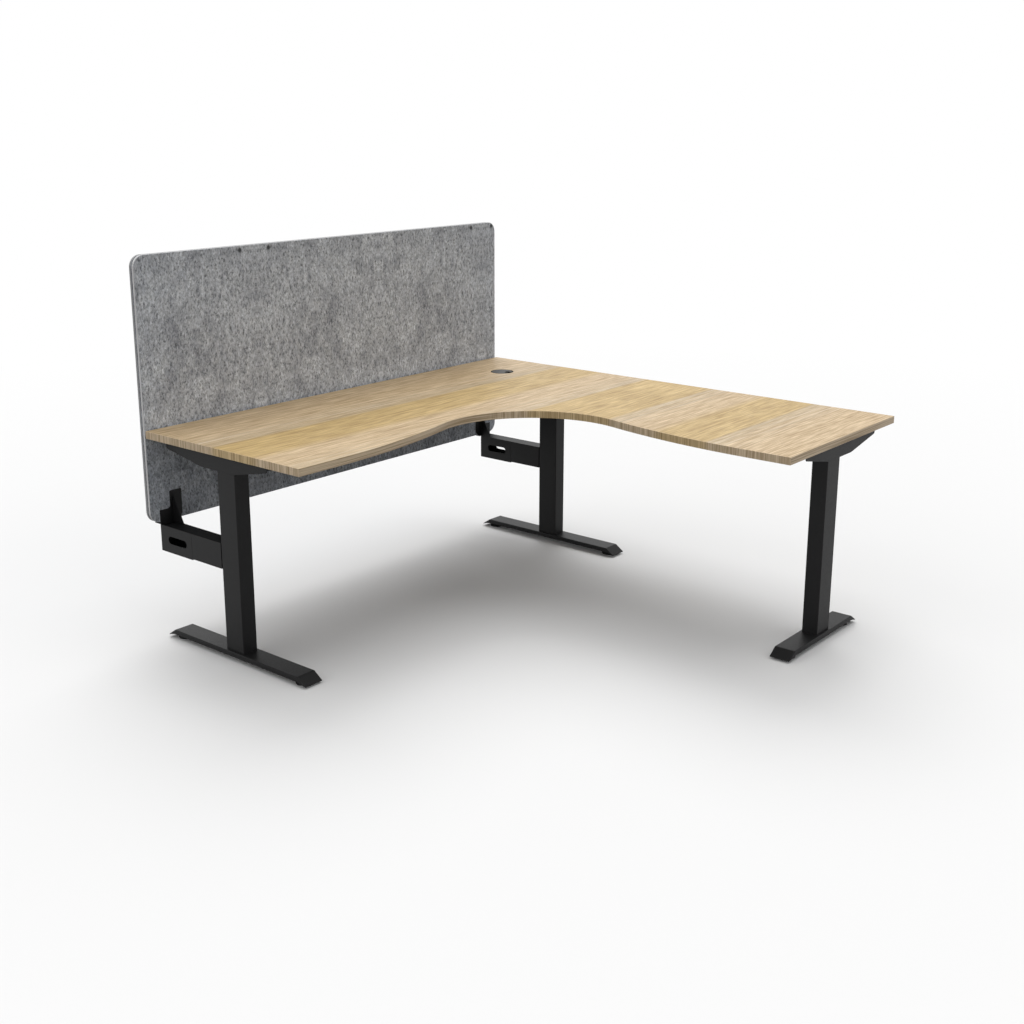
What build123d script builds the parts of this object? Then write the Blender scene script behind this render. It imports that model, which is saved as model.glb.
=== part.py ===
from build123d import *
import os
from math import asin, cos, degrees, hypot, radians, sin

# A free-standing corner workstation: an L-shaped worktop with a curved sitting edge on three T-legs,
# and a felt screen behind its long back edge, carried by two arms from the legs.
# Millimetres, +Z up. The origin is on the floor, under the middle of the whole outline.
# Places in plan are counted from the worktop's back right corner: so far to the left, so far to the front.

# worktop
top_length = 1800.0
return_length = 1800.0
end_depth = 750.0
top_thickness = 25.0
top_height = 730.0
# its sitting edge: a knee curve between two shoulder curves, each of which ends in a straight stretch
knee_radius = 335.0
waist = 85.0
end_straight = 155.6
# edge band
band_thickness = 2.0
band_round = 0.8

# where the legs stand: column centres from the worktop's ends, its back edge and its outer side edge
leg_inset = 68.0
leg_setback = 357.0
return_setback = 367.0

# columns: closed steel tubes with a plate welded in at each end
column_width = 57.0
column_depth = 87.0
column_wall = 2.0
column_corner = 3.0
column_plate = 6.0
column_bolt_along = 60.0
column_bolt_across = 30.0

# feet: folded sheet, open below, with a sloped flap at each end
foot_top = 33.4
foot_width = 74.5
foot_sheet = 3.0
foot_side = 17.0
flap_run = 36.5
flap_drop = 24.7
long_reach = 310.0
short_reach_front = 214.0
short_reach_back = 203.0

# levelling glides: a moulded pad on a threaded stem, turned in a nut welded under the foot
pad_radius = 26.0
pad_crown_radius = 21.0
pad_edge = 4.0
pad_height = 8.0
pad_socket = 5.0
stem_radius = 5.0
stem_play = 0.05
stem_end_gap = 1.0
collar_radius = 9.0
collar_height = 4.0
collar_gap = 0.3
nut_radius = 8.0
long_glide_inset = 11.0
short_glide_inset_front = 19.0
short_glide_inset_back = 13.0

# top brackets: folded saddles between the columns and the worktop
bracket_sheet = 3.0
bracket_front = 200.0
bracket_back = 304.0
bracket_depth = 64.0
bracket_end_depth = 31.0
bracket_deep_front = 38.0
bracket_deep_back = 127.0
bracket_round = 7.0
window_length = 92.0
window_width = 40.0

# rails: tubes with an end plate at each end, bolted to the brackets and to each other
rail_width = 25.0
rail_height = 50.0
rail_wall = 2.0
rail_gap = 3.0
rail_front_at = 56.0
rail_back_at = 69.0
rail_plate = 4.0
rail_plate_height = 44.0
rail_plate_ear = 20.0

# bolts, nuts and screws: shank radius, head radius across its corners, head height
big_bolt = 4.0
big_head = 7.5
big_head_height = 5.3
big_bolt_out = 3.0
rail_bolt = 3.0
rail_head = 5.8
rail_head_height = 4.0
rail_nut_height = 5.0
rail_bolt_out = 1.5
screw_radius = 2.5
screw_head = 4.6
screw_head_height = 2.6
screw_bite = 13.0
screw_end_margin = 22.0
screw_side_margin = 11.0
hole_play = 0.5
thread_play = 0.05

# screen arms: an inverted channel bolted to the column, inside a bracket that slides on it
sleeve_bottom = 306.4
sleeve_height = 92.0
sleeve_sheet = 3.0
sleeve_length = 163.0
arm_play = 0.4
arm_sheet = 2.5
arm_end_gap = 17.0
arm_end_plate = 5.0
arm_seat_gap = 2.5
arm_seat_inset = 4.0
arm_bolt_across = 26.0
arm_bolt_up = 50.0
slot_length = 98.0
slot_height = 26.5
slot_end = 37.0
slot_up = 45.4
window_over = 8.0
slide_out = 50.0
lock_bolt_end = 65.0
lock_bolt_spacing = 30.0
lock_plate_edge = 18.0
lock_washer = 9.0
lock_washer_height = 1.6
lock_gap = 0.3

# screen: two felt panels on a narrower core
screen_end_gap = 2.5
screen_height = 898.0
screen_gap = 8.0
screen_corner = 40.0
felt_thickness = 9.5
core_thickness = 4.0
core_inset = 8.0
# its seat on each arm, counted from the column's centre towards the middle of the desk
plate_sheet = 3.0
plate_shoulder_up = 49.0
plate_top_up = 108.5
tongue_near = 15.0
tongue_far = 62.5
tongue_round = 10.0
tongue_tip_round = 3.0
tongue_foot_up = 22.0
tongue_cut = 11.5
tongue_cut_up = 7.0
ledge_sheet = 4.0
ledge_far = 40.0
gusset_run = 51.0
gusset_rise = 100.0
pad_thickness = 3.6
screen_bolt = 3.0
screen_head = 5.5
screen_head_height = 3.0
screen_bolt_low_up = 28.0
screen_bolt_high_up = 88.0
screen_bolt_side = 10.0

# cable grommet: its sleeve let in flush, a lift-out cap with a cable notch, and a turning shutter under it
grommet_left = 240.0
grommet_front = 231.0
grommet_hole = 40.0
grommet_rim = 46.0
grommet_rim_thickness = 3.0
grommet_play = 0.3
grommet_wall = 2.4
grommet_depth = 20.0
cap_radius = 41.6
cap_thickness = 2.0
cap_play = 0.3
skirt_wall = 1.8
skirt_depth = 8.0
notch_width = 26.0
notch_start = 14.0
notch_turn = -77.0
shutter_thickness = 1.6
shutter_gap = 0.5
shutter_sweep = 110.0
shutter_hub = 7.0
pivot_radius = 3.0
pivot_play = 0.06
pivot_head = 5.0
pivot_head_height = 1.4

# heights and depths that follow
underside = top_height - top_thickness
foot_side_bottom = foot_top - foot_side
bracket_bottom = underside - bracket_depth
column_length = bracket_bottom - foot_top
arm_top = sleeve_bottom + sleeve_height
arm_bottom = sleeve_bottom + sleeve_sheet + arm_play
arm_height = arm_top - arm_bottom
arm_width = column_width - 2 * (sleeve_sheet + arm_play)
ledge_top = arm_top + ledge_sheet
screen_bottom = ledge_top + pad_thickness
screen_length = top_length - 2 * screen_end_gap
screen_thickness = 2 * felt_thickness + core_thickness
reach_behind = screen_gap + screen_thickness + plate_sheet + screen_head_height
knee_centre = end_depth - waist + knee_radius
rail_level = underside - rail_gap - rail_height / 2
rail_bolt_side = rail_width / 2 + rail_plate_ear / 2
rail_places = (-rail_front_at, rail_back_at)

# the frame's origin from the worktop's back right corner
corner_x = top_length / 2
corner_y = (return_length - reach_behind) / 2


def spot(left, front):
    """A point on the floor, so far left and so far in front of the worktop's back right corner."""
    return Vector(corner_x - left, corner_y - front, 0)


# each leg's plane: x along its foot towards the back, y across it, at floor level over the column's centre
legs = {
    "left": Plane(spot(top_length - leg_inset, leg_setback), x_dir=(0, 1, 0)),
    "corner": Plane(spot(leg_inset, leg_setback), x_dir=(0, 1, 0)),
    "return": Plane(spot(return_setback, return_length - leg_inset), x_dir=(1, 0, 0)),
}
# the side of each leg, along its plane's y, that faces the rails
rail_sides = {"left": -1, "corner": 1, "return": 1}
arm_legs = ("left", "corner")
# how far each foot's flat top reaches from the column's centre, and how far in from there a glide stands
foot_ends = {
    "left": {"front": (-long_reach, long_glide_inset), "back": (long_reach, -long_glide_inset)},
    "corner": {"front": (-long_reach, long_glide_inset), "back": (long_reach, -long_glide_inset)},
    "return": {
        "front": (-short_reach_front, short_glide_inset_front),
        "back": (short_reach_back, -short_glide_inset_back),
    },
}


def side_of(plane, across=0):
    """Upright plane along a leg's foot: x towards the back, y up."""
    return Plane(plane.from_local_coords((0, across, 0)), x_dir=plane.x_dir, z_dir=-plane.y_dir)


def face_of(plane, along):
    """Upright plane square to a leg's foot: x across it, y up, facing the back."""
    return Plane(plane.from_local_coords((along, 0, 0)), x_dir=plane.y_dir, z_dir=plane.x_dir)


os.makedirs("parts", exist_ok=True)


# worktop and its edge band


def shoulder_radius(length):
    """Radius that joins the knee curve to the straight end of a side of this length."""
    run = length - end_straight - knee_centre
    return (run**2 + waist**2) / (2 * waist) - knee_radius


def arc_points(centre, radius, start, end):
    """Start, middle and end of the shorter arc between two directions from a centre."""
    first = (start - centre).normalized()
    last = (end - centre).normalized()
    return [centre + way * radius for way in (first, (first + last).normalized(), last)]


def worktop_plan(inset):
    """The worktop's plan at its underside, with every edge drawn in by inset."""
    left_radius = shoulder_radius(top_length)
    front_radius = shoulder_radius(return_length)
    left_stop = top_length - end_straight
    front_stop = return_length - end_straight
    knee = spot(knee_centre, knee_centre)
    left_centre = spot(left_stop, end_depth - left_radius)
    front_centre = spot(end_depth - front_radius, front_stop)
    left_arc = arc_points(left_centre, left_radius - inset, spot(left_stop, end_depth), knee)
    knee_arc = arc_points(knee, knee_radius + inset, left_centre, front_centre)
    front_arc = arc_points(front_centre, front_radius - inset, knee, spot(end_depth, front_stop))
    with BuildSketch(Plane.XY.offset(underside)) as plan:
        with BuildLine():
            Polyline(
                front_arc[2],
                spot(end_depth - inset, return_length - inset),
                spot(inset, return_length - inset),
                spot(inset, inset),
                spot(top_length - inset, inset),
                spot(top_length - inset, end_depth - inset),
                left_arc[0],
            )
            ThreePointArc(*left_arc)
            ThreePointArc(*knee_arc)
            ThreePointArc(*front_arc)
        make_face()
    return plan.sketch


screw_rows = (
    screw_end_margin - bracket_front,
    window_length / 2 + screw_end_margin,
    bracket_back - screw_end_margin,
)
screw_side = column_width / 2 - screw_side_margin
screw_spots = [(row, side) for row in screw_rows for side in (-screw_side, screw_side)]
grommet_plane = Plane(spot(grommet_left, grommet_front)).offset(top_height)

with BuildPart() as worktop_board:
    extrude(worktop_plan(band_thickness), amount=top_thickness, dir=(0, 0, 1))
    with BuildSketch(grommet_plane):
        Circle(grommet_hole)
    extrude(amount=-top_thickness, mode=Mode.SUBTRACT)
    with BuildSketch(grommet_plane):
        Circle(grommet_rim + grommet_play)
    extrude(amount=-grommet_rim_thickness, mode=Mode.SUBTRACT)
    for plane in legs.values():
        with BuildSketch(plane.offset(underside)):
            with Locations(*screw_spots):
                Circle(screw_radius + thread_play)
        extrude(amount=screw_bite, mode=Mode.SUBTRACT)
worktop_board.part.label = "worktop_board"
export_step(worktop_board.part, "parts/worktop_board.step")

with BuildPart() as edge_band:
    extrude(worktop_plan(0), amount=top_thickness, dir=(0, 0, 1))
    fillet(edge_band.edges().group_by(Axis.Z)[-1] + edge_band.edges().group_by(Axis.Z)[0], band_round)
    extrude(worktop_plan(band_thickness), amount=top_thickness, dir=(0, 0, 1), mode=Mode.SUBTRACT)
edge_band.part.label = "edge_band"
export_step(edge_band.part, "parts/edge_band.step")


# cable grommet

rim_seat = cap_radius + cap_play
sleeve_inner = grommet_hole - grommet_play - grommet_wall
skirt_outer = sleeve_inner - cap_play
skirt_inner = skirt_outer - skirt_wall
notch_middle = (notch_start + grommet_rim) / 2

with BuildPart() as grommet_sleeve:
    with BuildSketch(grommet_plane):
        Circle(grommet_rim)
    extrude(amount=-grommet_rim_thickness)
    with BuildSketch(grommet_plane):
        Circle(grommet_hole - grommet_play)
    extrude(amount=-grommet_depth)
    with BuildSketch(grommet_plane):
        Circle(rim_seat)
    extrude(amount=-cap_thickness, mode=Mode.SUBTRACT)
    with BuildSketch(grommet_plane):
        Circle(sleeve_inner)
    extrude(amount=-grommet_depth, mode=Mode.SUBTRACT)
grommet_sleeve.part.label = "grommet_sleeve"
export_step(grommet_sleeve.part, "parts/grommet_sleeve.step")

cap_under = grommet_plane.offset(-cap_thickness)
shutter_top = cap_under.offset(-shutter_gap)
shutter_bottom = shutter_top.offset(-shutter_thickness)
notch_plane = Plane(grommet_plane.origin, x_dir=(cos(radians(notch_turn)), sin(radians(notch_turn)), 0))

with BuildPart() as grommet_cap:
    with BuildSketch(grommet_plane):
        Circle(cap_radius)
    extrude(amount=-cap_thickness)
    with BuildSketch(cap_under):
        Circle(skirt_outer)
        Circle(skirt_inner, mode=Mode.SUBTRACT)
    extrude(amount=-skirt_depth)
    with BuildSketch(notch_plane):
        with Locations((notch_middle, 0)):
            Rectangle(grommet_rim - notch_start, notch_width)
    extrude(amount=-cap_thickness - skirt_depth, mode=Mode.SUBTRACT)
    with BuildSketch(cap_under):
        Circle(pivot_radius)
    extrude(amount=-2 * shutter_gap - shutter_thickness)
    with BuildSketch(shutter_bottom.offset(-shutter_gap)):
        Circle(pivot_head)
    extrude(amount=-pivot_head_height)
grommet_cap.part.label = "grommet_cap"
export_step(grommet_cap.part, "parts/grommet_cap.step")

# the shutter is a sector that stands beside the notch, and turns back under it to close it
notch_half = degrees(asin(notch_width / 2 / hypot(notch_start, notch_width / 2)))
shutter_first = notch_turn + notch_half
with BuildPart() as grommet_shutter:
    with BuildSketch(shutter_bottom):
        with BuildLine():
            rim = CenterArc((0, 0), skirt_inner - cap_play, shutter_first, shutter_sweep)
            Line((0, 0), rim @ 0)
            Line((0, 0), rim @ 1)
        make_face()
        Circle(shutter_hub)
        Circle(pivot_radius + pivot_play, mode=Mode.SUBTRACT)
    extrude(amount=shutter_thickness)
grommet_shutter.part.label = "grommet_shutter"
export_step(grommet_shutter.part, "parts/grommet_shutter.step")


# legs: column, foot and top bracket

# how far the foot's inside lags behind its sloped outside, measured along the floor
flap_lag = foot_sheet * hypot(flap_run, flap_drop) / flap_drop
bend_lag = flap_lag - foot_sheet * flap_run / flap_drop


def at_end_depth(corner):
    """Whether a corner of the bracket's outline lies at the bottom of one of its ends."""
    return abs(underside - corner.Y - bracket_end_depth) < bracket_sheet


for leg, plane in legs.items():
    with BuildPart() as column:
        with BuildSketch(plane.offset(foot_top)):
            RectangleRounded(column_depth, column_width, column_corner)
        extrude(amount=column_length)
        with BuildSketch(plane.offset(foot_top + column_plate)):
            Rectangle(column_depth - 2 * column_wall, column_width - 2 * column_wall)
        extrude(amount=column_length - 2 * column_plate, mode=Mode.SUBTRACT)
        for level in (foot_top, bracket_bottom - column_plate):
            with BuildSketch(plane.offset(level)):
                with GridLocations(column_bolt_along, column_bolt_across, 2, 2):
                    Circle(big_bolt + thread_play)
            extrude(amount=column_plate, mode=Mode.SUBTRACT)
        if leg in arm_legs:
            # seat plate for the screen arm, welded inside the back wall
            with BuildSketch(face_of(plane, column_depth / 2 - column_wall)):
                with Locations((0, arm_top - arm_height / 2)):
                    Rectangle(column_width - 2 * column_wall, arm_height)
            extrude(amount=-column_plate)
            with BuildSketch(face_of(plane, column_depth / 2)):
                with Locations((0, arm_top - arm_height / 2)):
                    with GridLocations(arm_bolt_across, arm_bolt_up, 2, 2):
                        Circle(big_bolt + thread_play)
            extrude(amount=-column_wall - column_plate, mode=Mode.SUBTRACT)
    column.part.label = f"column_{leg}"
    export_step(column.part, f"parts/column_{leg}.step")

    front_reach = -foot_ends[leg]["front"][0]
    back_reach = foot_ends[leg]["back"][0]
    with BuildPart() as foot:
        with BuildSketch(side_of(plane)):
            with BuildLine():
                Polyline(
                    (-front_reach, foot_side_bottom),
                    (-front_reach - flap_run, foot_top - flap_drop),
                    (-front_reach, foot_top),
                    (back_reach, foot_top),
                    (back_reach + flap_run, foot_top - flap_drop),
                    (back_reach, foot_side_bottom),
                    close=True,
                )
            make_face()
        extrude(amount=foot_width / 2, both=True)
        with BuildSketch(side_of(plane)):
            with BuildLine():
                Polyline(
                    (-front_reach - flap_run + flap_lag, foot_top - flap_drop),
                    (bend_lag - front_reach, foot_top - foot_sheet),
                    (back_reach - bend_lag, foot_top - foot_sheet),
                    (back_reach + flap_run - flap_lag, foot_top - flap_drop),
                    close=True,
                )
            make_face()
        extrude(amount=foot_width / 2 - foot_sheet, both=True, mode=Mode.SUBTRACT)
        with BuildSketch(plane.offset(foot_top)):
            with GridLocations(column_bolt_along, column_bolt_across, 2, 2):
                Circle(big_bolt + hole_play)
        extrude(amount=-foot_sheet, mode=Mode.SUBTRACT)
    foot.part.label = f"foot_{leg}"
    export_step(foot.part, f"parts/foot_{leg}.step")

    with BuildPart() as top_bracket:
        with BuildSketch(side_of(plane)) as profile:
            with BuildLine():
                Polyline(
                    (-bracket_front, underside),
                    (-bracket_front, underside - bracket_end_depth),
                    (-bracket_deep_front, bracket_bottom),
                    (bracket_deep_back, bracket_bottom),
                    (bracket_back, underside - bracket_end_depth),
                    (bracket_back, underside),
                    close=True,
                )
            make_face()
            fillet(profile.vertices().filter_by(at_end_depth), bracket_round)
        extrude(amount=column_width / 2, both=True)
        with BuildSketch(plane.offset(bracket_bottom + bracket_sheet)):
            with Locations(((bracket_back - bracket_front) / 2, 0)):
                Rectangle(bracket_front + bracket_back, column_width - 2 * bracket_sheet)
        extrude(amount=bracket_depth - 2 * bracket_sheet, mode=Mode.SUBTRACT)
        with BuildSketch(plane.offset(bracket_bottom)):
            with GridLocations(column_bolt_along, column_bolt_across, 2, 2):
                Circle(big_bolt + hole_play)
        extrude(amount=bracket_sheet, mode=Mode.SUBTRACT)
        with BuildSketch(plane.offset(underside)):
            Rectangle(window_length, window_width)
            with Locations(*screw_spots):
                Circle(screw_radius + hole_play)
        extrude(amount=-bracket_sheet, mode=Mode.SUBTRACT)
        with BuildSketch(side_of(plane, rail_sides[leg] * (column_width - bracket_sheet) / 2)):
            for place in rail_places:
                with Locations((place - rail_bolt_side, rail_level), (place + rail_bolt_side, rail_level)):
                    Circle(rail_bolt + hole_play)
        extrude(amount=bracket_sheet, both=True, mode=Mode.SUBTRACT)
    top_bracket.part.label = f"top_bracket_{leg}"
    export_step(top_bracket.part, f"parts/top_bracket_{leg}.step")

# bolts from inside each bracket down into the column, and from inside each foot up into it
with BuildPart() as column_head_bolts:
    for plane in legs.values():
        seat = plane.offset(bracket_bottom + bracket_sheet)
        with BuildSketch(seat):
            with GridLocations(column_bolt_along, column_bolt_across, 2, 2):
                RegularPolygon(big_head, 6)
        extrude(amount=big_head_height)
        with BuildSketch(seat):
            with GridLocations(column_bolt_along, column_bolt_across, 2, 2):
                Circle(big_bolt)
        extrude(amount=-bracket_sheet - column_plate - big_bolt_out)
column_head_bolts.part.label = "column_head_bolts"
export_step(column_head_bolts.part, "parts/column_head_bolts.step")

with BuildPart() as foot_bolts:
    for plane in legs.values():
        seat = plane.offset(foot_top - foot_sheet)
        with BuildSketch(seat):
            with GridLocations(column_bolt_along, column_bolt_across, 2, 2):
                RegularPolygon(big_head, 6)
        extrude(amount=-big_head_height)
        with BuildSketch(seat):
            with GridLocations(column_bolt_along, column_bolt_across, 2, 2):
                Circle(big_bolt)
        extrude(amount=foot_sheet + column_plate + big_bolt_out)
foot_bolts.part.label = "foot_bolts"
export_step(foot_bolts.part, "parts/foot_bolts.step")

with BuildPart() as worktop_screws:
    for plane in legs.values():
        seat = plane.offset(underside - bracket_sheet)
        with BuildSketch(seat):
            with Locations(*screw_spots):
                Circle(screw_head)
        extrude(amount=-screw_head_height)
        with BuildSketch(seat):
            with Locations(*screw_spots):
                Circle(screw_radius)
        extrude(amount=bracket_sheet + screw_bite)
worktop_screws.part.label = "worktop_screws"
export_step(worktop_screws.part, "parts/worktop_screws.step")


# rails

def at_leg(leg, along, across):
    """A point at rail level beside a leg."""
    return legs[leg].from_local_coords((along, across, rail_level))


wall_side = column_width / 2
front_place, back_place = rail_places
front_rail_face = legs["corner"].from_local_coords((front_place - rail_width / 2, 0, rail_level)).Y
rails = {
    "back_rail": (at_leg("left", back_place, -wall_side), at_leg("corner", back_place, wall_side)),
    "front_rail": (at_leg("left", front_place, -wall_side), at_leg("corner", front_place, wall_side)),
}
for name, place in zip(("return_rail_left", "return_rail_right"), rail_places):
    start = at_leg("return", place, wall_side)
    rails[name] = (start, Vector(start.X, front_rail_face, rail_level))

for name, (start, end) in rails.items():
    along = (end - start).normalized()
    length = (end - start).length
    first = Plane(start, x_dir=(0, 0, 1), z_dir=along)
    with BuildPart() as rail:
        with BuildSketch(first):
            Rectangle(rail_height, rail_width)
        extrude(amount=length)
        for plate in (first, first.offset(length - rail_plate)):
            with BuildSketch(plate):
                Rectangle(rail_plate_height, rail_width + 2 * rail_plate_ear)
            extrude(amount=rail_plate)
        with BuildSketch(first.offset(rail_plate)):
            Rectangle(rail_height - 2 * rail_wall, rail_width - 2 * rail_wall)
        extrude(amount=length - 2 * rail_plate, mode=Mode.SUBTRACT)
        for plate in (first, first.offset(length - rail_plate)):
            with BuildSketch(plate):
                with Locations((0, -rail_bolt_side), (0, rail_bolt_side)):
                    Circle(rail_bolt + hole_play)
            extrude(amount=rail_plate, mode=Mode.SUBTRACT)
        if name == "front_rail":
            # holes for the return rails' bolts
            for side_name in ("return_rail_left", "return_rail_right"):
                meet = rails[side_name][1]
                with BuildSketch(Plane(meet, x_dir=(0, 0, 1), z_dir=(0, 1, 0))):
                    with Locations((0, -rail_bolt_side), (0, rail_bolt_side)):
                        Circle(rail_bolt + hole_play)
                extrude(amount=rail_wall, mode=Mode.SUBTRACT)
    rail.part.label = name
    export_step(rail.part, f"parts/{name}.step")


def rail_joints():
    """For each end of each rail: the plane where it meets its wall, facing the wall, and the wall's sheet."""
    for name, (start, end) in rails.items():
        along = (end - start).normalized()
        yield Plane(start, x_dir=(0, 0, 1), z_dir=-along), bracket_sheet
        far_wall = rail_wall if name.startswith("return") else bracket_sheet
        yield Plane(end, x_dir=(0, 0, 1), z_dir=along), far_wall


with BuildPart() as rail_bolts:
    for joint, wall in rail_joints():
        with BuildSketch(joint.offset(-rail_plate)):
            with Locations((0, -rail_bolt_side), (0, rail_bolt_side)):
                RegularPolygon(rail_head, 6)
        extrude(amount=-rail_head_height)
        with BuildSketch(joint.offset(-rail_plate)):
            with Locations((0, -rail_bolt_side), (0, rail_bolt_side)):
                Circle(rail_bolt)
        extrude(amount=rail_plate + wall + rail_nut_height + rail_bolt_out)
rail_bolts.part.label = "rail_bolts"
export_step(rail_bolts.part, "parts/rail_bolts.step")

with BuildPart() as rail_nuts:
    for joint, wall in rail_joints():
        with BuildSketch(joint.offset(wall)):
            with Locations((0, -rail_bolt_side), (0, rail_bolt_side)):
                RegularPolygon(rail_head, 6)
                Circle(rail_bolt + thread_play, mode=Mode.SUBTRACT)
        extrude(amount=rail_nut_height)
rail_nuts.part.label = "rail_nuts"
export_step(rail_nuts.part, "parts/rail_nuts.step")


# screen arms and the brackets that slide on them

# distances along a leg's plane: the seat plate's front, the arm's end and the slots
plate_front = leg_setback + screen_gap - plate_sheet
arm_start = column_depth / 2
arm_end = plate_front - arm_end_gap
slot_middle = plate_front - slot_end - slot_length / 2
slot_level = sleeve_bottom + slot_up
window_start = slot_middle - slot_length / 2 - window_over
window_end = slot_middle + slot_length / 2 + window_over
lock_first = plate_front - lock_bolt_end
lock_second = lock_first - lock_bolt_spacing
lock_middle = (lock_first + lock_second) / 2
lock_slot_start = lock_second - slide_out - big_bolt - hole_play
lock_slot_end = lock_first + big_bolt + hole_play
cheek_end = plate_front - sleeve_length - arm_play
inward = {"left": -1, "corner": 1}
wide_side = column_width / 2
bolt_tongue = (tongue_near + tongue_far) / 2
screen_bolt_spots = (
    (-screen_bolt_side, screen_bolt_low_up),
    (bolt_tongue, screen_bolt_low_up),
    (bolt_tongue, screen_bolt_high_up),
)


def seat_plate(leg, along, bottom):
    """Face of the plate that holds the screen, from a given height up."""
    toward = inward[leg]
    points = [
        (-wide_side, bottom),
        (-wide_side, arm_top + plate_shoulder_up),
        (tongue_near, arm_top + plate_shoulder_up),
        (tongue_near, arm_top + plate_top_up),
        (tongue_far, arm_top + plate_top_up),
        (tongue_far, arm_top + tongue_foot_up),
        (tongue_far - tongue_cut, arm_top + tongue_cut_up),
        (ledge_far, max(bottom, arm_top)),
    ]
    if bottom < arm_top:
        points.extend([(wide_side, arm_top), (wide_side, bottom)])
    with BuildSketch(face_of(legs[leg], along)) as plate:
        with BuildLine():
            Polyline(*[(toward * across, up) for across, up in points], close=True)
        make_face()
        fillet(plate.vertices().group_by(Axis.Y)[-1], tongue_tip_round)
        shoulder = plate.vertices().filter_by(lambda v: abs(v.Y - arm_top - plate_shoulder_up) < plate_sheet)
        fillet(shoulder.sort_by(lambda v: toward * v.X)[-1], tongue_round)
    return plate.sketch


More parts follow.
